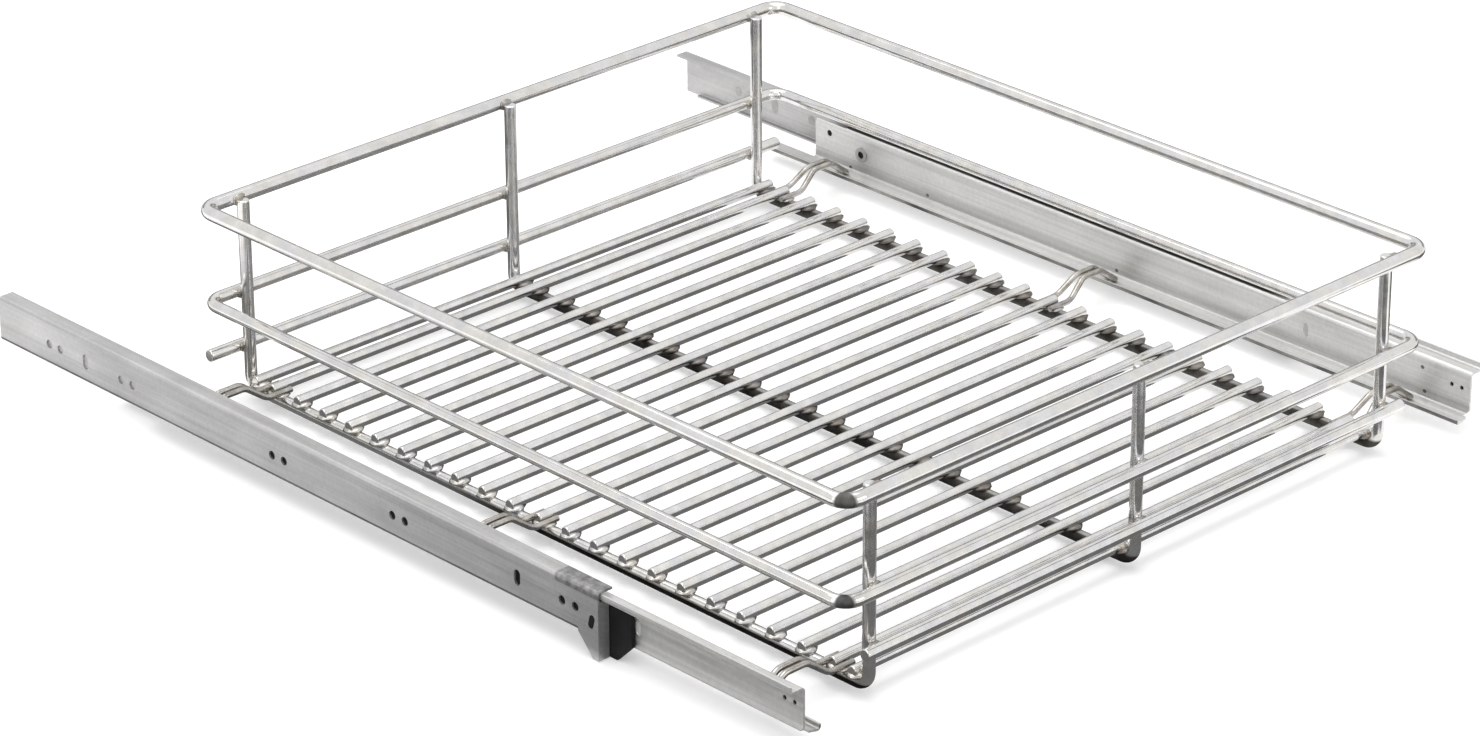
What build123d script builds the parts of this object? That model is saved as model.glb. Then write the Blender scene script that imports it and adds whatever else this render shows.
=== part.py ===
from build123d import *
import math
import os

os.makedirs("parts", exist_ok=True)

# The origin is at the bottom centre of the whole unit, with the drawer drawn part way out.
# X runs to the right, Y towards the back of the cabinet and Z up. All sizes are in millimetres.

# Basket
basket_y = -60.0
ring_width = 437.0
upper_ring_z = 118.0
middle_ring_z = 62.5
rail_z = 29.5
upper_ring_wire = 8.0
middle_ring_wire = 7.0
cradle_wire = 7.0
rail_wire = 7.0
floor_wire = 6.0
hook_wire = 3.5
post_y = 242.5
post_x = 195.0
cradle_z = 6.1
cradle_bend = 8.0
ring_bend = 10.0
post_rise = 1.0
rear_rail_length = 437.0
front_rail_length = 410.0
floor_wire_length = 398.0
floor_pitch = 22.04
floor_wire_count = 23
weld_sink = 0.02
wire_end_round = 0.8

# Hooks between the basket and the drawer profiles, as distances from the middle of the unit
hook_leg_offset = 5.2
hook_end_offset = 2.7
hook_inner_x = 189.0
hook_rise_x = 206.0
hook_top_start_x = 219.0
hook_top_end_x = 234.0
hook_tip_x = 248.0
hook_top_z = 20.8
hook_rise_bend = 10.0
hook_top_bend = 8.0
hook_tip_bend = 2.6
hook_floor_gap = 0.05

# Sheet steel of the slides
sheet = 1.2
sheet_bend = 1.6

# Cabinet profiles
cabinet_face_x = 266.5
cabinet_length = 500.0
cabinet_front_y = -182.0
cabinet_bottom_z = 12.0
cabinet_top_z = 39.0
cabinet_flange = 10.0
cabinet_lip = 4.0
lip_start = 12.0
flare_start = 15.0
flare_end = 4.0
front_flange_width = 7.5
front_flange_top_z = 32.8
screw_hole = 5.0
screw_pair_spacing = 10.0
screw_pair_places = [22.0, 154.0, 253.0, 384.0, 449.0]
oblong_places = [61.0, 421.0]
oblong_length = 9.0
oblong_width = 4.5
screw_row_z = 25.0
peg_hole_length = 8.0
peg_hole_width = 4.0
peg_tilt = 15.0
peg_y = -177.0
peg_z = 20.8
peg_fit = 0.1

# Drawer profiles
drawer_face_x = 255.6
drawer_front_y = -318.0
drawer_length = 510.0
tongue_length = 33.0
gutter_length = 486.0
gutter_outer_x = 264.5
gutter_floor_z = 33.8
gutter_lip_z = 37.4
drawer_heel_z = 9.4
tray_edge_x = 244.1
tray_edge_z = 6.7
tray_lip_z = 10.2
nose_chamfer = 5.0
locating_hole = 4.0
locating_back = 12.0
locating_z = 27.8
slot_front = 118.0
slot_z = 21.7
slot_length = 8.0
slot_width = 3.6
nose_hole = 2.6
nose_hole_places = [6.0, 13.0]
nose_hole_z = 24.0

# Front guide blocks
cheek_inner_x = 256.1
cheek_outer_x = 258.7
block_top_z = 32.8
block_nose_y = -198.4
nose_corner = 11.0
block_back_y = -168.0
block_gap = 0.1
block_round = 0.6

# Rear rollers
roller_y = 152.5
roller_z = 21.7
roller_diameter = 16.4
roller_inner_x = 256.3
roller_width = 8.4
roller_round = 0.8
axle_diameter = 6.0
axle_bore = 4.6
axle_end_x = 265.1
axle_head = 9.2
axle_head_thickness = 0.8
running_fit = 0.06

# Worked-out values
ring_depth = 2 * (post_y + cradle_wire / 2)
floor_z = cradle_z + (cradle_wire + floor_wire) / 2 - weld_sink
hook_z = cradle_z + (cradle_wire + hook_wire) / 2 - weld_sink
rail_y = post_y + (cradle_wire + rail_wire) / 2 - weld_sink
web_mid_x = drawer_face_x - sheet / 2
tray_slope = (drawer_heel_z - tray_edge_z) / (web_mid_x - tray_edge_x)
tray_rest = (sheet + hook_wire) / 2 * math.hypot(1, tray_slope)
hook_tip_z = tray_edge_z + tray_slope * (hook_tip_x - tray_edge_x) + tray_rest + hook_floor_gap
cabinet_back_y = cabinet_front_y + cabinet_length
drawer_back_y = drawer_front_y + drawer_length


def save(piece, name):
    """Label a finished piece and write it under its own name."""
    piece.part.label = name
    export_step(piece.part, f"parts/{name}.step")


def save_pair(piece, name):
    """Write a right-hand piece and its left-hand mirror image."""
    save(piece, f"{name}_right")
    with BuildPart() as mirrored:
        mirror(piece.part, about=Plane.YZ)
    save(mirrored, f"{name}_left")


# Basket rings: one wire bent round four corners, its ends butted together
def wire_ring(depth, wire, height):
    half_x = ring_width / 2
    half_y = depth / 2
    corners = [(half_x, -half_y), (half_x, half_y), (-half_x, half_y), (-half_x, -half_y)]
    with BuildPart() as ring:
        with BuildLine(Plane((0, basket_y, height))):
            route = FilletPolyline(*corners, radius=ring_bend, close=True)
        with BuildSketch(Plane(origin=route @ 0, z_dir=route % 0)):
            Circle(wire / 2)
        sweep(path=route)
    return ring


save(wire_ring(ring_depth + upper_ring_wire - 2 * weld_sink, upper_ring_wire, upper_ring_z), "upper_ring")
save(wire_ring(ring_depth + middle_ring_wire - 2 * weld_sink, middle_ring_wire, middle_ring_z), "middle_ring")


# Straight rods across the basket, with slightly rounded ends
def cross_rod(y, z, wire, length):
    with BuildPart() as rod:
        with BuildSketch(Plane.YZ.offset(-length / 2)):
            with Locations((y, z)):
                Circle(wire / 2)
        extrude(amount=length)
        fillet(rod.edges().filter_by(GeomType.CIRCLE), wire_end_round)
    return rod


save(cross_rod(basket_y + rail_y, rail_z, rail_wire, rear_rail_length), "rear_rail")
save(cross_rod(basket_y - rail_y, rail_z, rail_wire, front_rail_length), "front_rail")

# The outermost floor wires lie where the cradles start to bend up
last_floor_y = post_y - cradle_bend
middle_wire = floor_wire_count // 2
for number in range(floor_wire_count):
    step = number - middle_wire
    along = max(-last_floor_y, min(last_floor_y, step * floor_pitch))
    save(cross_rod(basket_y + along, floor_z, floor_wire, floor_wire_length), f"floor_wire_{number + 1:02d}")

# Cradles: each runs under the floor and bends up at both ends into a post
for place, name in ((-post_x, "left"), (0, "middle"), (post_x, "right")):
    post_top_z = upper_ring_z + post_rise
    with BuildPart() as cradle:
        with BuildLine(Plane.YZ.offset(place)):
            route = FilletPolyline(
                (basket_y - post_y, post_top_z),
                (basket_y - post_y, cradle_z),
                (basket_y + post_y, cradle_z),
                (basket_y + post_y, post_top_z),
                radius=cradle_bend,
            )
        with BuildSketch(Plane(origin=route @ 0, z_dir=route % 0)):
            Circle(cradle_wire / 2)
        sweep(path=route)
        fillet(cradle.edges().filter_by(GeomType.CIRCLE).group_by(Axis.Z)[-1], wire_end_round)
    save(cradle, f"cradle_{name}")

# Hooks: hairpins welded on a cradle, which narrow as they rise and drop behind the lip of a drawer profile
for place, name in ((-10, "front"), (0, "middle"), (10, "rear")):
    centre_y = basket_y + place * floor_pitch
    side_view = [
        (hook_inner_x, hook_leg_offset, hook_z),
        (hook_rise_x, hook_leg_offset, hook_z),
        (hook_top_start_x, hook_end_offset, hook_top_z),
        (hook_top_end_x, hook_end_offset, hook_top_z),
        (hook_tip_x, hook_end_offset, hook_tip_z),
    ]
    out_points = [(x, centre_y - leg, z) for x, leg, z in side_view]
    back_points = [(x, centre_y + leg, z) for x, leg, z in reversed(side_view)]
    bends = [hook_rise_bend, hook_top_bend, hook_top_bend, hook_tip_bend]
    with BuildPart() as hook:
        with BuildLine():
            route = FilletPolyline(*out_points, *back_points, radius=bends + bends[::-1])
        with BuildSketch(Plane(origin=route @ 0, z_dir=route % 0)):
            Circle(hook_wire / 2)
        sweep(path=route)
    save_pair(hook, f"hook_{name}")

# Cabinet profiles: a shallow channel, screwed through its web to the cabinet side
web_inner_x = cabinet_face_x - sheet
channel_front_y = cabinet_front_y + flare_start
with BuildPart() as cabinet_profile:
    with BuildSketch(Plane.XZ.offset(-cabinet_back_y)):
        with BuildLine():
            FilletPolyline(
                (cabinet_face_x - cabinet_flange, cabinet_top_z - sheet / 2),
                (cabinet_face_x - sheet / 2, cabinet_top_z - sheet / 2),
                (cabinet_face_x - sheet / 2, cabinet_bottom_z + sheet / 2),
                (cabinet_face_x - cabinet_lip, cabinet_bottom_z + sheet / 2),
                radius=sheet_bend,
            )
        trace(line_width=sheet)
    extrude(amount=cabinet_back_y - channel_front_y)
    # The web's front end flares down below the channel
    with BuildSketch(Plane.YZ.offset(web_inner_x)):
        with BuildLine():
            Polyline(
                (channel_front_y, cabinet_bottom_z + sheet_bend),
                (channel_front_y, cabinet_bottom_z),
                (cabinet_front_y + flare_end, 0),
                (cabinet_front_y, 0),
                (cabinet_front_y, cabinet_top_z - 2 * sheet),
                (channel_front_y + sheet, cabinet_top_z - 2 * sheet),
                (channel_front_y + sheet, cabinet_bottom_z + 2 * sheet),
                close=True,
            )
        make_face()
    extrude(amount=sheet)
    # The top flange runs on over the flared end, and the bottom lip stops short of the back
    with BuildSketch(Plane.XZ.offset(-channel_front_y)):
        with BuildLine():
            FilletPolyline(
                (cabinet_face_x - cabinet_flange, cabinet_top_z - sheet / 2),
                (cabinet_face_x - sheet / 2, cabinet_top_z - sheet / 2),
                (cabinet_face_x - sheet / 2, cabinet_top_z - 4 * sheet),
                radius=sheet_bend,
            )
        trace(line_width=sheet)
    extrude(amount=channel_front_y - cabinet_front_y)
    with BuildSketch(Plane.XY.offset(cabinet_bottom_z - sheet)):
        with Locations((web_inner_x, cabinet_back_y)):
            Rectangle(cabinet_lip, lip_start, align=(Align.MAX, Align.MAX))
    extrude(amount=sheet_bend + 2 * sheet, mode=Mode.SUBTRACT)
    # The front flange is folded inwards and holds the guide block
    with BuildSketch(Plane.XZ.offset(-cabinet_front_y)):
        with Locations((cabinet_face_x, 0)):
            Rectangle(front_flange_width, front_flange_top_z, align=(Align.MAX, Align.MIN))
    extrude(amount=-sheet)
    # Pairs of screw holes, upright oblongs and the slanted hole for the block's peg
    with BuildSketch(Plane.YZ.offset(web_inner_x - sheet)):
        with Locations([(cabinet_front_y + place, screw_row_z) for place in screw_pair_places]):
            with GridLocations(screw_pair_spacing, 0, 2, 1):
                Circle(screw_hole / 2)
        with Locations([(cabinet_front_y + place, screw_row_z) for place in oblong_places]):
            SlotOverall(oblong_length, oblong_width, rotation=90)
        with Locations((peg_y, peg_z)):
            SlotOverall(peg_hole_length, peg_hole_width, rotation=90 + peg_tilt)
    extrude(amount=3 * sheet, mode=Mode.SUBTRACT)
save_pair(cabinet_profile, "cabinet_profile")

# Drawer profiles: a gutter along the top runs in the channel, and the tray at the foot carries the hooks
with BuildPart() as drawer_profile:
    with BuildSketch(Plane.XZ.offset(-drawer_front_y)):
        with BuildLine():
            FilletPolyline(
                (gutter_outer_x - sheet / 2, gutter_lip_z),
                (gutter_outer_x - sheet / 2, gutter_floor_z),
                (web_mid_x, gutter_floor_z),
                (web_mid_x, drawer_heel_z),
                (tray_edge_x, tray_edge_z),
                (tray_edge_x, tray_lip_z),
                radius=sheet_bend,
            )
        trace(line_width=sheet)
    extrude(amount=-(drawer_length + tongue_length))
    # Only the tray goes on behind the web as a tongue
    with BuildSketch(Plane.XZ.offset(-drawer_back_y)):
        with Locations((drawer_face_x - sheet - sheet_bend, drawer_heel_z)):
            Rectangle(gutter_outer_x, gutter_lip_z, align=(Align.MIN, Align.CENTER))
        with Locations((0, tray_lip_z + sheet)):
            Rectangle(2 * gutter_outer_x, gutter_lip_z, align=(Align.CENTER, Align.MIN))
    extrude(amount=-2 * tongue_length, mode=Mode.SUBTRACT)
    # The gutter ends in front of the web's back end
    with BuildSketch(Plane.XZ.offset(-(drawer_front_y + gutter_length))):
        with Locations((drawer_face_x, gutter_floor_z)):
            Rectangle(cabinet_flange, cabinet_flange, align=(Align.MIN, Align.CENTER))
    extrude(amount=-drawer_length, mode=Mode.SUBTRACT)
    # The front lower corner of the web is cut off
    with BuildSketch(Plane.YZ.offset(drawer_face_x + sheet)):
        with BuildLine():
            Polyline(
                (drawer_front_y - 1, 0),
                (drawer_front_y + nose_chamfer, 0),
                (drawer_front_y + nose_chamfer, tray_edge_z),
                (drawer_front_y - 1, tray_edge_z + nose_chamfer + 1),
                close=True,
            )
        make_face()
    extrude(amount=-4 * sheet, mode=Mode.SUBTRACT)
    # Axle hole, locating hole and slot, and two small holes near the front end
    with BuildSketch(Plane.YZ.offset(drawer_face_x + sheet)):
        with Locations((roller_y, roller_z)):
            Circle(axle_diameter / 2 + running_fit)
        with Locations((drawer_back_y - locating_back, locating_z)):
            Circle(locating_hole / 2)
        with Locations((drawer_front_y + slot_front, slot_z)):
            SlotOverall(slot_length, slot_width, rotation=90)
        with Locations([(drawer_front_y + place, nose_hole_z) for place in nose_hole_places]):
            Circle(nose_hole / 2)
    extrude(amount=-4 * sheet, mode=Mode.SUBTRACT)
save_pair(drawer_profile, "drawer_profile")

# Guide blocks: the rounded nose stands in front of the channel and the top carries the gutter
block_outer_x = web_inner_x - block_gap
with BuildPart() as guide_block:
    with BuildSketch(Plane.YZ.offset(cheek_inner_x)):
        with BuildLine():
            Polyline(
                (block_nose_y, nose_corner),
                (block_nose_y + nose_corner, 0),
                (cabinet_front_y + flare_end, 0),
                (block_back_y, cabinet_bottom_z),
                (block_back_y, block_top_z),
                (block_nose_y, block_top_z),
                close=True,
            )
        make_face()
    extrude(amount=cheek_outer_x - cheek_inner_x)
    with BuildSketch(Plane.YZ.offset(cheek_outer_x)):
        with BuildLine():
            Polyline(
                (cabinet_front_y + sheet + block_gap, 2 * sheet),
                (cabinet_front_y + flare_end, 2 * sheet),
                (block_back_y, cabinet_bottom_z + sheet),
                (block_back_y, block_top_z),
                (cabinet_front_y + sheet + block_gap, block_top_z),
                close=True,
            )
        make_face()
    extrude(amount=block_outer_x - cheek_outer_x)
    fillet(guide_block.faces().sort_by(Axis.X)[0].edges(), block_round)
    # The peg reaches through the web and stops flush with its outer face
    with BuildSketch(Plane.YZ.offset(block_outer_x)):
        with Locations((peg_y, peg_z)):
            SlotOverall(peg_hole_length - 2 * peg_fit, peg_hole_width - 2 * peg_fit, rotation=90 + peg_tilt)
    extrude(amount=cabinet_face_x - block_outer_x)
save_pair(guide_block, "guide_block")

# Rear rollers turn on hollow rivets in the drawer profiles and run on the lip of the channel
with BuildPart() as rear_roller:
    with BuildSketch(Plane.YZ.offset(roller_inner_x)):
        with Locations((roller_y, roller_z)):
            Circle(roller_diameter / 2)
            Circle(axle_diameter / 2 + running_fit, mode=Mode.SUBTRACT)
    extrude(amount=roller_width)
    rims = rear_roller.edges().filter_by(GeomType.CIRCLE).sort_by(SortBy.RADIUS)[-2:]
    fillet(rims, roller_round)
save_pair(rear_roller, "rear_roller")

head_x = drawer_face_x - sheet - axle_head_thickness
with BuildPart() as roller_axle:
    with BuildSketch(Plane.YZ.offset(head_x)):
        with Locations((roller_y, roller_z)):
            Circle(axle_diameter / 2)
    extrude(amount=axle_end_x - head_x)
    with BuildSketch(Plane.YZ.offset(head_x)):
        with Locations((roller_y, roller_z)):
            Circle(axle_head / 2)
    extrude(amount=axle_head_thickness)
    with BuildSketch(Plane.YZ.offset(head_x)):
        with Locations((roller_y, roller_z)):
            Circle(axle_bore / 2)
    extrude(amount=axle_end_x - head_x, mode=Mode.SUBTRACT)
save_pair(roller_axle, "roller_axle")
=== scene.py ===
# %% [markdown]
# # A pull-out pantry unit
# A pull-out pantry unit is a low wire basket that hangs between two steel slides in a kitchen cabinet. The
# solid model already has every piece at its real size and place, and it is loaded here as a fixed frame.
# What is left for this script is how the unit looks: chrome plate, zinc plate, moulded plastic, the welds
# that hold the wires together, and a studio to see them in. All lengths are in metres.

# %% Load the frame
import bmesh
import bpy
import math
from mathutils import Matrix, Vector, noise


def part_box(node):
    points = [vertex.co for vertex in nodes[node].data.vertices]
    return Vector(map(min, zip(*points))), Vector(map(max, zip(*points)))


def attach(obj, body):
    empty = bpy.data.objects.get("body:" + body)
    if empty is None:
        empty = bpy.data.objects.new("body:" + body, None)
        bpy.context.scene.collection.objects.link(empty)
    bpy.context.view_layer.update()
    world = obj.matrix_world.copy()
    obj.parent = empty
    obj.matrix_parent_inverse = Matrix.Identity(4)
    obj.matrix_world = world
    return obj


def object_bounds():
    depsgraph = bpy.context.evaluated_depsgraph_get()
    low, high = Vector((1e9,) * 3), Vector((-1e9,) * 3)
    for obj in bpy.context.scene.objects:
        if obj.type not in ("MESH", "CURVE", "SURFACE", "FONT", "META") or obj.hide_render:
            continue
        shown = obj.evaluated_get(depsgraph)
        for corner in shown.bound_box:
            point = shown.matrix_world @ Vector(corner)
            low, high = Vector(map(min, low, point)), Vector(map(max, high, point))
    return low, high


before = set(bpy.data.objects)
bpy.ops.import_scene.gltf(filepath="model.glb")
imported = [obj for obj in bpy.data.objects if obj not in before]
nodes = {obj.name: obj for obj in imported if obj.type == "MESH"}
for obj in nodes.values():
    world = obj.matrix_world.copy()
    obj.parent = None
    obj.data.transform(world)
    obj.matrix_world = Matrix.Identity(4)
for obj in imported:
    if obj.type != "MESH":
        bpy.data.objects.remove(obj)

MM = 0.001
cad_low, cad_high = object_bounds()
print("nodes:", len(nodes), "box:", [round(v, 3) for v in cad_low], [round(v, 3) for v in cad_high])

# %% [markdown]
# ## The camera
# The photograph was taken from the front left, well above the basket, through a long lens. A long lens
# keeps parallel wires nearly parallel. The camera's turn, tip and lean were solved from the basket's own
# wires, so they are given here as three angles and a place.

# %% Camera
LENS_TURN = math.radians(43.66)
LENS_TIP = math.radians(25.24)
LENS_LEAN = math.radians(-0.26)
CAMERA_PLACE = Vector((-1.82368, -1.91776, 1.26192))
LENS_LENGTH = 127.89

forward = Vector((math.cos(LENS_TIP) * math.sin(LENS_TURN),
                  math.cos(LENS_TIP) * math.cos(LENS_TURN),
                  -math.sin(LENS_TIP)))
level_right = Vector((math.cos(LENS_TURN), -math.sin(LENS_TURN), 0))
level_up = level_right.cross(forward)
right = math.cos(LENS_LEAN) * level_right + math.sin(LENS_LEAN) * level_up
up = -math.sin(LENS_LEAN) * level_right + math.cos(LENS_LEAN) * level_up

camera_data = bpy.data.cameras.new("photo_camera")
camera_data.sensor_width = 36
camera_data.lens = LENS_LENGTH
camera_data.clip_end = 50
camera = bpy.data.objects.new("photo_camera", camera_data)
bpy.context.scene.collection.objects.link(camera)
camera.matrix_world = Matrix.Translation(CAMERA_PLACE) @ Matrix((right, up, -forward)).transposed().to_4x4()
bpy.context.scene.camera = camera
bpy.context.scene.view_settings.view_transform = "Standard"
print("camera looks along", [round(v, 3) for v in forward])

# %% [markdown]
# ## Node helpers
# Every finish below is a Principled shader with a few procedural textures in front of it. The helpers keep
# the wiring short: they make an empty material, a noise texture in real millimetres, and a range of
# values, a colour or a bump from it.

# %% Node helpers
def new_finish(name, metallic, ior=1.45):
    material = bpy.data.materials.new(name)
    material.use_nodes = True
    shader = material.node_tree.nodes["Principled BSDF"]
    shader.inputs["Metallic"].default_value = metallic
    shader.inputs["IOR"].default_value = ior
    return material, material.node_tree, shader


def noise_in_mm(tree, grain_mm, stretch=(1, 1, 1), detail=3.0):
    """A noise whose blobs are about grain_mm across, longer along an axis where stretch is above 1."""
    place = tree.nodes.new("ShaderNodeTexCoord")
    scaled = tree.nodes.new("ShaderNodeMapping")
    scaled.inputs["Scale"].default_value = [1 / (grain_mm * MM * s) for s in stretch]
    texture = tree.nodes.new("ShaderNodeTexNoise")
    texture.inputs["Scale"].default_value = 1.0
    texture.inputs["Detail"].default_value = detail
    tree.links.new(place.outputs["Object"], scaled.inputs["Vector"])
    tree.links.new(scaled.outputs["Vector"], texture.inputs["Vector"])
    return texture.outputs["Fac"]


def to_range(tree, value, low, high, start=0.3, stop=0.7):
    spread = tree.nodes.new("ShaderNodeMapRange")
    spread.inputs["From Min"].default_value = start
    spread.inputs["From Max"].default_value = stop
    spread.inputs["To Min"].default_value = low
    spread.inputs["To Max"].default_value = high
    tree.links.new(value, spread.inputs["Value"])
    return spread.outputs["Result"]


def to_colour(tree, value, dark, light, start=0.3, stop=0.7):
    ramp = tree.nodes.new("ShaderNodeValToRGB")
    ramp.color_ramp.elements[0].position = start
    ramp.color_ramp.elements[0].color = (*dark, 1)
    ramp.color_ramp.elements[1].position = stop
    ramp.color_ramp.elements[1].color = (*light, 1)
    tree.links.new(value, ramp.inputs["Fac"])
    return ramp.outputs["Color"]


def multiply_colour(tree, first, second, share):
    mix = tree.nodes.new("ShaderNodeMix")
    mix.data_type = "RGBA"
    mix.blend_type = "MULTIPLY"
    mix.inputs["Factor"].default_value = share
    tree.links.new(first, mix.inputs["A"])
    tree.links.new(second, mix.inputs["B"])
    return mix.outputs["Result"]


def to_bump(tree, shader, value, depth_mm, strength):
    bump = tree.nodes.new("ShaderNodeBump")
    bump.inputs["Distance"].default_value = depth_mm * MM
    bump.inputs["Strength"].default_value = strength
    tree.links.new(value, bump.inputs["Height"])
    tree.links.new(bump.outputs["Normal"], shader.inputs["Normal"])


print("texture helpers ready")

# %% [markdown]
# Some marks sit in one place only, such as the painted shade in a gutter. A painted image could show them,
# but it needs an unwrapped mesh and looks soft from close by. Here a mark's place is given in millimetres
# along the model's axes, limits are joined by multiplying them, and the plate is shaded where all of them
# hold.

# %% Helpers that place a mark
def ridge_pointiness(tree):
    """About 0.5 on flat plate, more on ridges and less in hollows."""
    shape = tree.nodes.new("ShaderNodeNewGeometry")
    return shape.outputs["Pointiness"]


def along(tree, axis, start, stop, both_sides=True):
    """0 before start and 1 after stop along the model's X, Y or Z, in mm.

    X counts outwards from the middle, unless both_sides is off.
    """
    place = tree.nodes.new("ShaderNodeTexCoord")
    split = tree.nodes.new("ShaderNodeSeparateXYZ")
    tree.links.new(place.outputs["Object"], split.inputs["Vector"])
    value = split.outputs[axis]
    if axis == "X" and both_sides:
        outwards = tree.nodes.new("ShaderNodeMath")
        outwards.operation = "ABSOLUTE"
        tree.links.new(value, outwards.inputs[0])
        value = outwards.outputs["Value"]
    low, high = sorted((start, stop))
    first, last = (0, 1) if start < stop else (1, 0)
    return to_range(tree, value, first, last, start=low * MM, stop=high * MM)


def all_of(tree, *values):
    """The product of values between 0 and 1: 1 only where all of them are."""
    whole = values[0]
    for value in values[1:]:
        product = tree.nodes.new("ShaderNodeMath")
        product.operation = "MULTIPLY"
        tree.links.new(whole, product.inputs[0])
        tree.links.new(value, product.inputs[1])
        whole = product.outputs["Value"]
    return whole


def shaded(tree, plate, where, shade):
    """The plate's colour, multiplied by shade where the value is 1."""
    mix = tree.nodes.new("ShaderNodeMix")
    mix.data_type = "RGBA"
    mix.blend_type = "MULTIPLY"
    tree.links.new(where, mix.inputs["Factor"])
    tree.links.new(plate, mix.inputs["A"])
    tree.links.new(shade, mix.inputs["B"])
    return mix.outputs["Result"]


print("placing helpers ready")

# %% [markdown]
# ## Chrome-plated wire
# The basket is bright drawn wire with a thin chrome plate. Up close the plate isn't a perfect mirror: it
# follows the faint waves of the wire under it, and it is a little duller in patches where it was handled.
# A metallic shader with a low roughness gives the mirror. Slow noise moves the roughness and the tone, and
# a fine noise bends the reflections a little, as the drawn wire does.

# %% Chrome finish
# Extra roughness where shade is painted into the chrome.
ROUGHER_IN_PAINTED_SHADE = 0.45


def chrome_finish(name, dark, light, smooth, dull, painted_shade_where=None, shade_tones=None):
    """The first extra argument gives 1 where shade is painted into the plate, and the second holds the
    tones of that painted shade.
    """
    material, tree, shader = new_finish(name, metallic=1.0)
    patches = noise_in_mm(tree, 9)
    grain = noise_in_mm(tree, 1.3, detail=4.0)
    cast = noise_in_mm(tree, 16, detail=1.0)
    tone = to_colour(tree, patches, dark, light)
    tint = to_colour(tree, cast, (1.0, 0.98, 0.95), (0.975, 0.97, 0.99), start=0.42, stop=0.58)
    tinted = multiply_colour(tree, tone, tint, share=1.0)
    specks = to_colour(tree, grain, (0.86, 0.86, 0.85), (1, 1, 1))
    plate = multiply_colour(tree, tinted, specks, share=0.35)
    roughness = to_range(tree, patches, smooth, dull)
    if painted_shade_where:
        # Shade is painted into the plate where this mask is 1, and the plate is rougher there.
        shade_place = painted_shade_where(tree)
        plate = shaded(tree, plate, shade_place, to_colour(tree, patches, *shade_tones))
        rougher = tree.nodes.new("ShaderNodeMath")
        rougher.operation = "MULTIPLY_ADD"
        rougher.inputs[1].default_value = ROUGHER_IN_PAINTED_SHADE
        tree.links.new(shade_place, rougher.inputs[0])
        tree.links.new(roughness, rougher.inputs[2])
        roughness = rougher.outputs["Value"]
    tree.links.new(plate, shader.inputs["Base Color"])
    tree.links.new(roughness, shader.inputs["Roughness"])
    to_bump(tree, shader, grain, depth_mm=0.05, strength=0.05)
    return material


print("chrome finish ready")

# %% [markdown]
# The cradles are painted dark underneath, as painted shade: the left one along its lower side, more towards
# the front, and the others below the floor wires. Each ring is one wire bent round four corners, and its
# front left bend is painted dark as painted shade too. Each pair of numbers says where a mark begins and
# where it is full.

# %% Painted shade in the chrome
LEFT_CRADLE_BELOW = (7.8, 6.8)
LEFT_CRADLE_FORWARD = (70, -40)
CRADLE_BELOW = (10.6, 8.8)
RING_BEND = 14
BEND_SHADE_FORWARD = (3.5, 5.0)
BEND_SHADE_OUTWARD = (4.5, 6.5)


# The two masks below say where shade is painted under the cradles.
def under_left_cradle(tree):
    return all_of(tree, along(tree, "Z", *LEFT_CRADLE_BELOW), along(tree, "Y", *LEFT_CRADLE_FORWARD))


def under_floor(tree):
    return along(tree, "Z", *CRADLE_BELOW)


def ring_bend_shade(tree):
    """Painted shade at the front left bend of each ring."""
    low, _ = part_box("upper_ring")
    bend_x = low[0] / MM + RING_BEND
    bend_y = low[1] / MM + RING_BEND
    forward_part = along(tree, "Y", bend_y - BEND_SHADE_FORWARD[0], bend_y - BEND_SHADE_FORWARD[1])
    outward_part = along(tree, "X", bend_x - BEND_SHADE_OUTWARD[0], bend_x - BEND_SHADE_OUTWARD[1], both_sides=False)
    return all_of(tree, forward_part, outward_part)


print("cradles darken below", CRADLE_BELOW[0], "mm")

# %% [markdown]
# One function makes all the chrome: bright wire, rings and cradles with painted shade in places, duller
# hooks, and the rougher plate on the welds. Only the tones, the roughness and the places of painted shade
# differ.

# %% The chrome finishes
PALE, PALER = (0.68, 0.68, 0.675), (0.82, 0.818, 0.81)
# These three pairs are tones of painted shade: under the left cradle, under the floor wires, at the ring
# bend.
NEARLY_BLACK = (0.015, 0.013, 0.012), (0.06, 0.055, 0.05)
DARK_GREY = (0.05, 0.046, 0.042), (0.17, 0.16, 0.15)
BEND_SHADE_TONES = (0.08, 0.08, 0.08), (0.24, 0.24, 0.24)
chrome = chrome_finish("bright_chrome_plate", PALE, PALER, 0.10, 0.20)
# The rings' finish paints shade into their front left bend.
ring_chrome = chrome_finish("bright_chrome_rings", (0.67, 0.668, 0.66), (0.79, 0.785, 0.775), 0.10, 0.18,
                            ring_bend_shade, BEND_SHADE_TONES)
# The cradles' finishes paint shade on their undersides.
outer_cradle = chrome_finish("chrome_painted_shade_underneath", PALE, PALER, 0.10, 0.20,
                             under_left_cradle, NEARLY_BLACK)
inner_cradle = chrome_finish("chrome_painted_shade_under_floor", PALE, PALER, 0.12, 0.26,
                             under_floor, DARK_GREY)
dull_chrome = chrome_finish("dull_chrome", (0.30, 0.285, 0.26), (0.56, 0.545, 0.52), 0.16, 0.34)
weld_chrome = chrome_finish("plated_weld", (0.46, 0.45, 0.43), (0.70, 0.69, 0.67), 0.20, 0.38)
# Darker weld tones, as painted shade, for welds under the floor wires.
dark_weld = chrome_finish("weld_in_painted_shade", (0.12, 0.11, 0.10), (0.36, 0.34, 0.32), 0.28, 0.50)
print("chrome finishes:", [m.name for m in bpy.data.materials])
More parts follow.
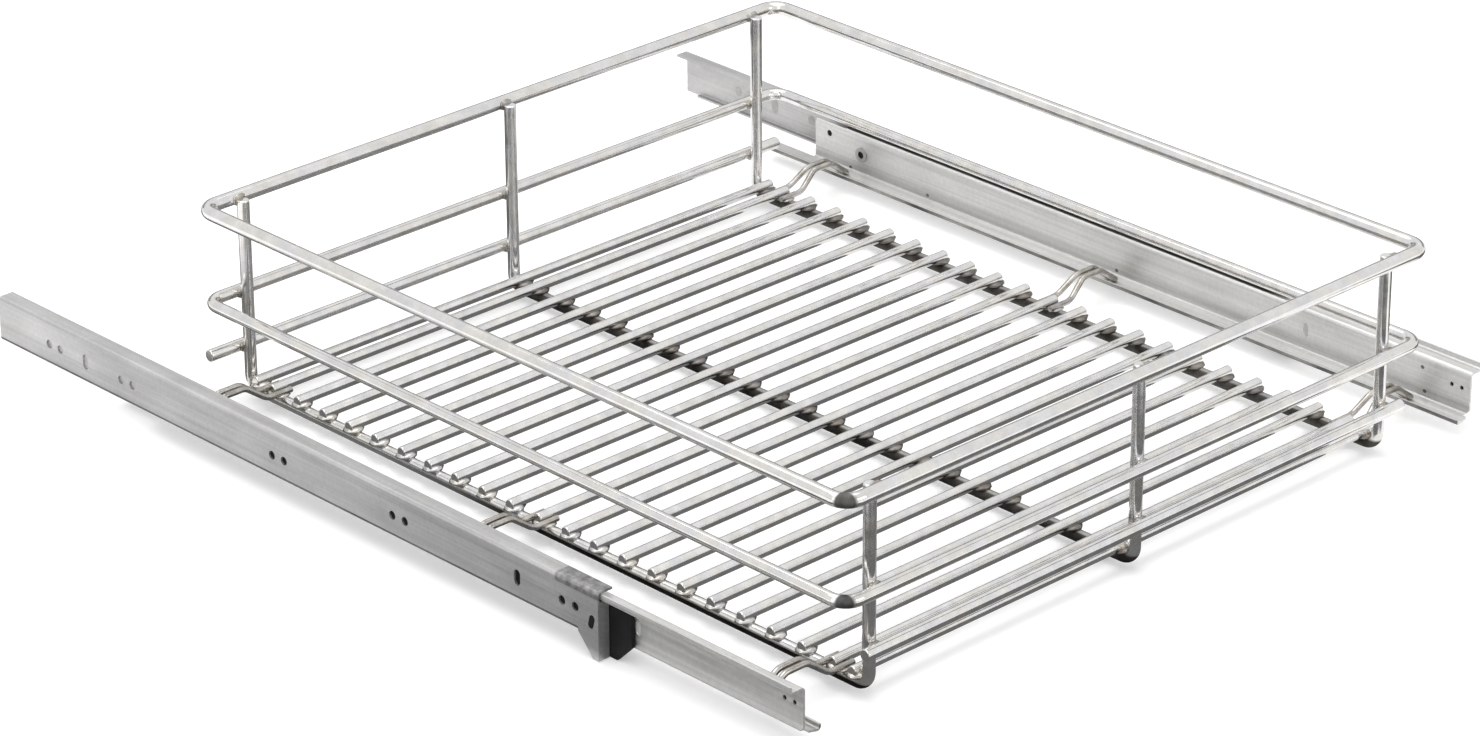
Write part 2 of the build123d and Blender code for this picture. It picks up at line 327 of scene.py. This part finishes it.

# %% [markdown]
# ## Zinc-plated sheet
# The slides are rolled from steel strip and zinc plated. Rolling leaves faint lines along the profile, and
# the plating dries in soft, slightly cloudy patches. The lines come from a noise stretched more than a
# hundred times along the profile, and the clouds from a slow noise. Ridges get a touch of painted
# highlight, and hollows a touch of painted shade. An anisotropic shader could give the lines too, but it
# shows no single line.

# %% Zinc finish
def zinc_finish(name, dark, light, marks=None):
    """marks adds this profile's painted shade to the plate."""
    material, tree, shader = new_finish(name, metallic=0.75)
    roll_lines = noise_in_mm(tree, 1.5, stretch=(1, 120, 1), detail=5.0)
    clouds = noise_in_mm(tree, 22, stretch=(1, 2.5, 1))
    spangle = noise_in_mm(tree, 2.4, detail=2.0)
    tone = to_colour(tree, clouds, dark, light)
    lines = to_colour(tree, roll_lines, (0.72, 0.72, 0.725), (1, 1, 1))
    spots = to_colour(tree, spangle, (0.88, 0.88, 0.89), (1, 1, 1))
    lined = multiply_colour(tree, tone, lines, share=0.8)
    # Painted highlight on ridges and painted shade in hollows, from the mesh's pointiness.
    ridge_highlight_and_hollow_shade = to_colour(tree, ridge_pointiness(tree), (0.93, 0.93, 0.93), (1, 1, 1), start=0.48, stop=0.56)
    spotted = multiply_colour(tree, lined, spots, share=0.7)
    plate = multiply_colour(tree, spotted, ridge_highlight_and_hollow_shade, share=1.0)
    if marks:
        plate = marks(tree, plate)
    tree.links.new(plate, shader.inputs["Base Color"])
    tree.links.new(to_range(tree, roll_lines, 0.34, 0.52), shader.inputs["Roughness"])
    to_bump(tree, shader, roll_lines, depth_mm=0.04, strength=0.35)
    return material


print("zinc finish ready")

# %% [markdown]
# The top corner at the cabinet profile's front end is painted dark and blotchy, and a thin dark line is
# painted along the foot of its web. Both are painted shade. Each mark is a colour that the plate is
# multiplied by, inside limits that say where it begins and where it is full.

# %% Marks on the cabinet profile
CORNER_SHADE_ABOVE = (34.4, 34.8)
CORNER_SHADE_FORWARD = (-149, -150.5)
FOOT_OUTSIDE = (266.2, 266.4)
FOOT_BELOW = (14.8, 14.2)
FOOT_BACKWARD = (-168, -166)


def cabinet_marks(tree, plate):
    """Painted shade on the top front corner, and along the foot of the web."""
    # Painted shade, in blotches, on the top front corner.
    corner_shade_noise = noise_in_mm(tree, 3.5, detail=4.0)
    corner_shade = to_colour(tree, corner_shade_noise, (0.34, 0.34, 0.35), (0.74, 0.73, 0.73))
    corner = all_of(tree, along(tree, "Z", *CORNER_SHADE_ABOVE), along(tree, "Y", *CORNER_SHADE_FORWARD))
    # Painted shade in a thin line along the foot of the web.
    edge_noise = noise_in_mm(tree, 6, stretch=(1, 5, 1))
    edge_shade = to_colour(tree, edge_noise, (0.08, 0.08, 0.08), (0.34, 0.34, 0.33))
    foot = all_of(tree, along(tree, "X", *FOOT_OUTSIDE), along(tree, "Z", *FOOT_BELOW),
                  along(tree, "Y", *FOOT_BACKWARD))
    return shaded(tree, shaded(tree, plate, corner, corner_shade), foot, edge_shade)


# The corner's dark blotches are painted shade.
print("pressed corner begins at Y", CORNER_SHADE_FORWARD[0], "mm")

# %% [markdown]
# The drawer profile's gutter slides on the guide block, and it is painted dark as painted shade under the
# cabinet profile's flange. The tray is painted dark below its lip, which the hooks drop behind, as painted
# shade too.

# %% Marks on the drawer profile
GUTTER_INNER = (255.9, 256.5)
GUTTER_OUTER = (263.9, 263.4)
GUTTER_ABOVE = (33.6, 34.0)
GUTTER_BACKWARD = (-178, -168)
LIP_INSIDE = (244.9, 244.6)
LIP_BELOW = (9.9, 9.5)


def drawer_marks(tree, plate):
    """Painted shade in the gutter, and below the tray's lip."""
    # Painted shade in the gutter, under the cabinet profile's flange.
    gutter_shade_noise = noise_in_mm(tree, 5, stretch=(1, 6, 1))
    gutter_shade = to_colour(tree, gutter_shade_noise, (0.16, 0.165, 0.16), (0.42, 0.41, 0.40))
    floor_of_gutter = all_of(tree, along(tree, "X", *GUTTER_INNER), along(tree, "X", *GUTTER_OUTER))
    shaded_gutter = all_of(tree, floor_of_gutter, along(tree, "Z", *GUTTER_ABOVE),
                    along(tree, "Y", *GUTTER_BACKWARD))
    # Painted shade below the tray's lip.
    edge_noise = noise_in_mm(tree, 9, stretch=(1, 4, 1))
    edge_shade = to_colour(tree, edge_noise, (0.04, 0.04, 0.04), (0.55, 0.54, 0.52))
    lip = all_of(tree, along(tree, "X", *LIP_INSIDE), along(tree, "Z", *LIP_BELOW))
    return shaded(tree, shaded(tree, plate, shaded_gutter, gutter_shade), lip, edge_shade)


# The dark tone in the gutter is painted shade.
print("grease between", GUTTER_INNER[0], "and", GUTTER_OUTER[0], "mm from the middle")

# %% [markdown]
# The drawer profile is the paler of the two, and the rivet is close to the cabinet profile.

# %% The zinc finishes
zinc_drawer = zinc_finish("zinc_plated_drawer_profile", (0.72, 0.715, 0.70), (0.84, 0.835, 0.82),
                          marks=drawer_marks)
zinc_cabinet = zinc_finish("zinc_plated_cabinet_profile", (0.50, 0.495, 0.49), (0.64, 0.635, 0.63),
                           marks=cabinet_marks)
rivet = zinc_finish("zinc_plated_rivet", (0.48, 0.48, 0.47), (0.60, 0.60, 0.59))
print("zinc finishes:", zinc_drawer.name, zinc_cabinet.name, rivet.name)

# %% [markdown]
# ## Moulded plastic
# The guide block and the roller are moulded. The block is black with a fine spark-eroded grain from its
# mould, and the roller is a pale nylon, which lets a little light in. Both need only a fine bump with a
# change of roughness, and a slow change of tone, because moulded plastic is even by nature.

# %% Plastic finishes
def plastic_finish(name, dark, light, smooth, dull, scatter=0.0, ior=1.5):
    material, tree, shader = new_finish(name, metallic=0.0, ior=ior)
    mould_grain = noise_in_mm(tree, 0.45, detail=2.0)
    flow = noise_in_mm(tree, 7)
    tree.links.new(to_colour(tree, flow, dark, light), shader.inputs["Base Color"])
    tree.links.new(to_range(tree, mould_grain, smooth, dull), shader.inputs["Roughness"])
    shader.inputs["Subsurface Weight"].default_value = scatter
    shader.inputs["Subsurface Scale"].default_value = 1.5 * MM
    to_bump(tree, shader, mould_grain, depth_mm=0.05, strength=0.5)
    return material


black_plastic = plastic_finish("black_moulded_block", (0.002, 0.002, 0.002), (0.007, 0.007, 0.008),
                               0.50, 0.68, ior=1.36)
nylon = plastic_finish("pale_nylon_roller", (0.66, 0.65, 0.61), (0.76, 0.75, 0.71),
                       0.32, 0.45, scatter=0.15)
print("plastic finishes:", black_plastic.name, nylon.name)

# %% [markdown]
# ## Giving each piece its finish
# A node of the frame keeps its mesh. Only its material changes, and its faces are shaded smooth with the
# real corners kept sharp, so that a round wire looks round. The table pairs the start of a name with a
# finish.

# %% Dress the frame's pieces
FINISHES = {
    "cabinet_profile": zinc_cabinet,
    "drawer_profile": zinc_drawer,
    "upper_ring": ring_chrome,
    "middle_ring": ring_chrome,
    "cradle_left": outer_cradle,
    "cradle_middle": inner_cradle,
    "cradle_right": inner_cradle,
    "hook_": dull_chrome,
    "guide_block": black_plastic,
    "rear_roller": nylon,
    "roller_axle": rivet,
}


def finish_of(name):
    """The finish whose key the name starts with. Every other wire is bright chrome."""
    for start, finish in FINISHES.items():
        if name.startswith(start):
            return finish
    return chrome


SHARP_FROM = math.radians(32)
for name, piece in nodes.items():
    piece.data.materials.clear()
    piece.data.materials.append(finish_of(name))
    for face in piece.data.polygons:
        face.use_smooth = True
    piece.data.set_sharp_from_angle(angle=SHARP_FROM)
print("dressed", len(nodes), "pieces")

# %% [markdown]
# ## Welds
# The wires are resistance welded: they are pressed together while hot, and a little metal is squeezed out
# into the corners between them. After plating it rounds off every crossing. It could be made with a
# boolean union and a bevel, but that is slow and fragile on so many crossings. Here each weld is a small
# sphere that is pulled into a four-pointed shape, with a hollow round in each corner, and lumped a little
# by noise.

# %% Shape of one weld
NEARLY_ZERO = 0.001
LUMP_DEPTH = 0.14
LUMPS_PER_WELD = 1.7
LUMP_SHIFT = 900


def fillet_reach(one_way, other_way, half_widths, fillet):
    """How far a weld reaches in a direction with these two shares, round a hollow of radius fillet."""
    centre = [half + fillet for half in half_widths]
    nearest = one_way * centre[0] + other_way * centre[1]
    spare = nearest ** 2 - (centre[0] ** 2 + centre[1] ** 2 - fillet ** 2)
    limit = min(centre[0] / max(one_way, NEARLY_ZERO), centre[1] / max(other_way, NEARLY_ZERO))
    return min(limit, nearest - math.sqrt(spare)) if spare > 0 else limit


def add_weld(shape, centre, flat_axis, half_widths, fillet, thick):
    """One weld, flat across flat_axis, between wires of these half widths. Sizes are in metres.

    The noise is read at a place that moves with the centre, so that no two welds have the same lumps.
    """
    first, second = [axis for axis in range(3) if axis != flat_axis]
    made = bmesh.ops.create_icosphere(shape, subdivisions=2, radius=1.0)["verts"]
    for vert in made:
        lump = 1 + LUMP_DEPTH * noise.noise(vert.co * LUMPS_PER_WELD + Vector(centre) * LUMP_SHIFT)
        point = vert.co.copy()
        spread = max(math.hypot(point[first], point[second]), NEARLY_ZERO)
        reach = fillet_reach(abs(point[first]) / spread, abs(point[second]) / spread, half_widths, fillet)
        point[first] *= reach * lump
        point[second] *= reach * lump
        point[flat_axis] *= thick * lump
        vert.co = Vector(centre) + point


def finish_piece(shape, name, finish, body):
    for face in shape.faces:
        face.smooth = True
    data = bpy.data.meshes.new(name)
    shape.to_mesh(data)
    shape.free()
    data.materials.append(finish)
    piece = bpy.data.objects.new(name, data)
    bpy.context.scene.collection.objects.link(piece)
    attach(piece, body)


def middle_of(name):
    low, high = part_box(name)
    return (Vector(low) + Vector(high)) / 2


Y_AXIS, Z_AXIS = 1, 2
print("reach along a wire:", round(fillet_reach(1, 0, (3.0, 2.6), 3.0), 2), "mm")

# %% [markdown]
# Every floor wire lies on three cradles, so there are three rows of welds. A weld's half widths are a
# little less than half of each wire, so that it starts inside both and no gap shows.

# %% Floor welds
WIRE_HALF = 2.6 * MM
CRADLE_HALF = 3.0 * MM
WELD_LIFT = 0.4 * MM
cradles = ["cradle_left", "cradle_middle", "cradle_right"]
cradle_xs = [middle_of(name).x for name in cradles]
floor_wires = sorted(name for name in nodes if name.startswith("floor_wire"))
wire_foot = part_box("floor_wire_12")[0][2]

for cradle, x in zip(cradles, cradle_xs):
    welds = bmesh.new()
    for wire in floor_wires:
        add_weld(welds, (x, middle_of(wire).y, wire_foot + WELD_LIFT), Z_AXIS, (CRADLE_HALF, WIRE_HALF),
                 fillet=3.2 * MM, thick=2.0 * MM)
    # Welds on the middle and right cradles, under the floor, take painted shade.
    plate = weld_chrome if cradle == "cradle_left" else dark_weld
    finish_piece(welds, "floor_welds_on_" + cradle, plate, "carriage")
print("floor welds:", len(floor_wires) * len(cradle_xs))

# %% [markdown]
# The two rings and the rails cross the posts at the front and the back. They only touch at a point, so
# these welds are small and flat.

# %% Ring and rail welds
RING_HALF = 2.2 * MM
welds = bmesh.new()
post_faces = [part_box("cradle_left")[0][1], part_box("cradle_left")[1][1]]
heights = [middle_of(name).z for name in ("upper_ring", "middle_ring", "rear_rail")]
for z in heights:
    for x in cradle_xs:
        for y in post_faces:
            add_weld(welds, (x, y, z), Y_AXIS, (CRADLE_HALF, RING_HALF), fillet=1.1 * MM, thick=1.3 * MM)
finish_piece(welds, "ring_and_rail_welds", dull_chrome, "carriage")
print("ring and rail welds:", len(heights) * len(cradle_xs) * len(post_faces))

# %% [markdown]
# Each hook is a hairpin whose two legs lie across an outer cradle, so it has two small welds.

# %% Hook welds
LEG_HALF = 1.75 * MM
LEG_HALF_IN_WELD = 1.5 * MM
welds = bmesh.new()
hooks = sorted(name for name in nodes if name.startswith("hook_"))
for name in hooks:
    low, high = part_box(name)
    x = math.copysign(cradle_xs[2], low[0])
    for leg_y in (low[1] + LEG_HALF, high[1] - LEG_HALF):
        add_weld(welds, (x, leg_y, wire_foot), Z_AXIS, (CRADLE_HALF, LEG_HALF_IN_WELD),
                 fillet=1.4 * MM, thick=1.2 * MM)
finish_piece(welds, "hook_welds", weld_chrome, "carriage")
print("hook welds:", 2 * len(hooks))

# %% [markdown]
# ## Dark holes
# The front holes of the cabinet profiles open into the narrow gap beside the drawer profile. On the real
# slide that gap is unlit, and the holes look black, while the rear holes look grey. A studio this soft
# would light the gap, so a thin disc of painted shadow stands just behind each hole. It keeps clear of the
# roller and the drawer profile. The rivet's bore and the drawer profile's own holes get one each too.

# %% Discs in the holes
# These two finishes are painted shadow: black in most holes, grey in the rear holes and the drawer's web
# slot.
painted_shade = plastic_finish("painted_black_shadow", (0.002, 0.002, 0.002), (0.008, 0.007, 0.006), 0.55, 0.75, ior=1.3)
pale_painted_shade = plastic_finish("painted_grey_shade", (0.44, 0.44, 0.43), (0.58, 0.57, 0.56), 0.60, 0.80)
RIM_POINTS = 20
DISH_DEPTH = 0.15 * MM


def add_dish(shape, place, half_wide, half_high, towards):
    """A shallow dish across X: a rim of points, and a middle that lies a little towards one side."""
    x, y, z = place
    rim = []
    for step in range(RIM_POINTS):
        angle = 2 * math.pi * step / RIM_POINTS
        rim.append(shape.verts.new((x, y + half_wide * math.cos(angle), z + half_high * math.sin(angle))))
    middle = shape.verts.new((x + towards * DISH_DEPTH, y, z))
    for step in range(RIM_POINTS):
        shape.faces.new((rim[step], rim[(step + 1) % RIM_POINTS], middle))


def dish_piece(name, places, sizes, towards, finish, body):
    shape = bmesh.new()
    for place, (half_wide, half_high) in zip(places, sizes):
        add_dish(shape, [v * MM for v in place], half_wide * MM, half_high * MM, towards)
    finish_piece(shape, name, finish, body)


print("each disc has", RIM_POINTS, "points on its rim")

# %% [markdown]
# The cabinet profile's holes are given by their distance from its front end, in millimetres. Each disc is
# a little larger than its hole. The drawer profile's discs are a little smaller than their holes, and each
# is given by its place (out, back and up) and its half width and half height.

# %% Where the holes are
PROFILE_FRONT = -182
HOLE_ROW = 25
BEHIND_WEB = 265.2
ROUND = (3.0, 3.0)
OBLONG = (2.8, 5.2)
FRONT_HOLES = [(17, ROUND), (27, ROUND), (61, OBLONG), (149, ROUND), (159, ROUND), (248, ROUND),
               (258, ROUND)]
REAR_HOLES = [(379, ROUND), (389, ROUND), (421, OBLONG), (444, ROUND), (454, ROUND)]
DRAWER_HOLES = {
    "rivet_bore": [(254.0, 152.5, 21.7, 2.28, 2.28), (254.8, 180, 27.8, 1.97, 1.97)],
    "nose_holes": [(255.0, -312, 24, 1.28, 1.28), (255.0, -305, 24, 1.28, 1.28)],
    "web_slot": [(255.0, -200, 21.7, 1.78, 3.98)],
}
for side, sign in (("left", -1), ("right", 1)):
    for part, holes, finish in (("front", FRONT_HOLES, painted_shade), ("rear", REAR_HOLES, pale_painted_shade)):
        dish_piece(f"hole_shade_{part}_{side}",
                   [(sign * BEHIND_WEB, PROFILE_FRONT + from_front, HOLE_ROW) for from_front, _ in holes],
                   [size for _, size in holes], -sign, finish, "cabinet_side")
    for part, holes in DRAWER_HOLES.items():
        # The web slot gets the grey painted shade, and the other drawer holes get the black painted shadow.
        finish, slot = (pale_painted_shade, "zinc_steel") if part == "web_slot" else (painted_shade, "black_plastic")
        dish_piece(f"{part}_{side}", [(sign * out, back, up) for out, back, up, _, _ in holes],
                   [(wide, high) for _, _, _, wide, high in holes], sign, finish, "carriage")
print("holes each side:", len(FRONT_HOLES) + len(REAR_HOLES), "in the cabinet profile and",
      sum(len(holes) for holes in DRAWER_HOLES.values()), "in the drawer profile")

# %% [markdown]
# ## Pips on the drawer web
# The drawer profile's inner face has a few small dark pips, most of them near its foot. They are shallow,
# so a dish that stands a fraction of a millimetre proud of the web is enough, and the solid needs no cut.

# %% Pips
dark_pip = plastic_finish("dark_pip", (0.08, 0.08, 0.08), (0.20, 0.195, 0.19), 0.50, 0.70)
WEB_INSIDE = 254.36
PIP = (1.3, 1.1)
PIPS = [(161.8, 10.9), (96.5, 12.4), (-56.8, 12.4), (-284.2, 27.2), (-286.5, 13.4)]
for side, sign in (("left", -1), ("right", 1)):
    dish_piece(f"web_pips_{side}", [(sign * WEB_INSIDE, back, up) for back, up in PIPS], [PIP] * len(PIPS),
               -sign, dark_pip, "carriage")
print("pips each side:", len(PIPS))

# %% [markdown]
# ## The studio
# The photograph is a cut-out on white. The world is white to the camera and to reflections. To every other
# ray it is grey near the horizon and nearly white overhead, so that it lights the unit softly from above.
# More lamps would also turn the background white, but they would wash out the metal.

# %% World
scene = bpy.context.scene
world = bpy.data.worlds.new("studio")
scene.world = world
world.use_nodes = True


def sees_white(tree):
    """A value of 1 for rays from the camera and for reflected or transmitted rays."""
    rays = tree.nodes.new("ShaderNodeLightPath")
    value = rays.outputs["Is Camera Ray"]
    for other in ("Is Glossy Ray", "Is Transmission Ray"):
        either = tree.nodes.new("ShaderNodeMath")
        either.operation = "MAXIMUM"
        tree.links.new(value, either.inputs[0])
        tree.links.new(rays.outputs[other], either.inputs[1])
        value = either.outputs["Value"]
    return value


tree = world.node_tree
direction = tree.nodes.new("ShaderNodeTexCoord")
split = tree.nodes.new("ShaderNodeSeparateXYZ")
tree.links.new(direction.outputs["Generated"], split.inputs["Vector"])
walls = to_colour(tree, split.outputs["Z"], (0.42, 0.42, 0.43), (0.95, 0.95, 0.94), start=0.0, stop=0.8)
white_or_walls = tree.nodes.new("ShaderNodeMix")
white_or_walls.data_type = "RGBA"
white_or_walls.inputs["B"].default_value = (1, 1, 1, 1)
tree.links.new(sees_white(tree), white_or_walls.inputs["Factor"])
tree.links.new(walls, white_or_walls.inputs["A"])
tree.links.new(white_or_walls.outputs["Result"], tree.nodes["Background"].inputs["Color"])
tree.nodes["Background"].inputs["Strength"].default_value = 1.0
print("world ready")

# %% [markdown]
# Three large soft boxes light the unit: one overhead, and weaker ones at the left and in front. Small or
# sharp lamps would put hard spots on every wire.

# %% Lamps
def soft_lamp(name, place, aim, size, power):
    lamp_data = bpy.data.lights.new(name, "AREA")
    lamp_data.shape = "RECTANGLE"
    lamp_data.size, lamp_data.size_y = size
    lamp_data.energy = power
    lamp = bpy.data.objects.new(name, lamp_data)
    scene.collection.objects.link(lamp)
    lamp.location = place
    lamp.rotation_euler = (Vector(aim) - Vector(place)).to_track_quat("-Z", "Y").to_euler()


soft_lamp("overhead_box", (-0.2, 0.3, 2.2), (0, 0, 0), size=(2.4, 1.8), power=26)
soft_lamp("left_box", (-2.6, -0.2, 1.3), (0, 0, 0.05), size=(1.2, 1.6), power=12)
soft_lamp("front_box", (0.6, -2.6, 1.2), (0, 0, 0.05), size=(1.6, 1.0), power=8)

# %% [markdown]
# The floor is pale and matt, and keeps the unit's soft shadow. To the camera and to reflections it also
# glows a little, which brings it up to white without any more light on the unit.

# %% Floor
FLOOR_HALF = 8.0
FLOOR_GLOW = 0.34
FLOOR_GAP = 0.5 * MM


def flat_piece(name, corners, material):
    data = bpy.data.meshes.new(name)
    data.from_pydata(corners, [], [tuple(range(k, k + 4)) for k in range(0, len(corners), 4)])
    data.materials.append(material)
    piece = bpy.data.objects.new(name, data)
    scene.collection.objects.link(piece)
    return piece


def rectangle(low_x, high_x, low_y, high_y, z):
    return [(low_x, low_y, z), (high_x, low_y, z), (high_x, high_y, z), (low_x, high_y, z)]


paint = bpy.data.materials.new("white_studio_floor")
paint.use_nodes = True
tree = paint.node_tree
shader = tree.nodes["Principled BSDF"]
shader.inputs["Base Color"].default_value = (0.80, 0.80, 0.80, 1)
shader.inputs["Roughness"].default_value = 1.0
shader.inputs["Specular IOR Level"].default_value = 0.0
shader.inputs["Emission Color"].default_value = (1, 1, 1, 1)
glow_strength = to_range(tree, sees_white(tree), 0, FLOOR_GLOW, start=0, stop=1)
tree.links.new(glow_strength, shader.inputs["Emission Strength"])
floor_z = cad_low[2] - FLOOR_GAP
flat_piece("studio_floor", rectangle(-FLOOR_HALF, FLOOR_HALF, -FLOOR_HALF, FLOOR_HALF, floor_z), paint)
print("floor at", round(floor_z / MM, 2), "mm")

# %% [markdown]
# Polished wire in an all-white room would vanish, so a photographer lays grey cards where the wire mirrors
# them. One card lies under the basket and around it, in five pieces. One lies beside the left slide, dark
# at the front and nearly white at the back. One stands behind and to the right, dark below and white
# above. Only reflections see them.

# %% Grey cards
def card_finish(name, first, last, axis="Z", start=0, stop=1000):
    """A card that fades from one grey at start to another at stop, in mm along an axis."""
    material = bpy.data.materials.new(name)
    material.use_nodes = True
    tree = material.node_tree
    tree.nodes.remove(tree.nodes["Principled BSDF"])
    glow = tree.nodes.new("ShaderNodeEmission")
    faded = along(tree, axis, start, stop)
    grey = to_colour(tree, faded, (first,) * 3, (last,) * 3, start=0, stop=1)
    tree.links.new(grey, glow.inputs["Color"])
    tree.links.new(glow.outputs["Emission"], tree.nodes["Material Output"].inputs["Surface"])
    return material


def only_reflected(piece):
    piece.visible_camera = False
    piece.visible_diffuse = False
    piece.visible_transmission = False
    piece.visible_shadow = False


# Each rectangle is its low and high X, then its low and high Y.
UNDER_CARD = [(-0.262, 0.17, -0.34, 0.19), (-0.42, 0.22, -0.56, -0.34), (-0.262, 0.08, 0.20, 0.44),
              (-0.262, 0.65, 0.44, 0.75), (0.33, 0.65, -0.50, 0.44)]
LEFT_CARD = (-0.42, -0.272, -0.34, 0.30)
CARD_LIFT = 0.2 * MM
card_z = floor_z + CARD_LIFT
under_card = card_finish("grey_card_under_basket", 0.19, 0.19)
corners = [corner for edges in UNDER_CARD for corner in rectangle(*edges, card_z)]
only_reflected(flat_piece("under_card", corners, under_card))

left_card = card_finish("grey_card_at_left", 0.18, 0.95, axis="Y", start=-140, stop=170)
only_reflected(flat_piece("left_card", rectangle(*LEFT_CARD, card_z), left_card))

WALL_REACH = 3.0
WALL_FOOT = -0.1
WALL_TOP = 1.35
WALL_PANELS = 12
WALL_START = -5
WALL_SWEEP = 100
wall_card = card_finish("grey_card_behind", 0.22, 1.0, axis="Z", start=650, stop=1250)
corners = []
for step in range(WALL_PANELS):
    turns = [math.radians(WALL_START + WALL_SWEEP * (step + k) / WALL_PANELS) for k in (0, 1)]
    feet = [(WALL_REACH * math.sin(t), WALL_REACH * math.cos(t)) for t in turns]
    corners += [(*feet[0], WALL_FOOT), (*feet[1], WALL_FOOT), (*feet[1], WALL_TOP), (*feet[0], WALL_TOP)]
only_reflected(flat_piece("wall_card", corners, wall_card))
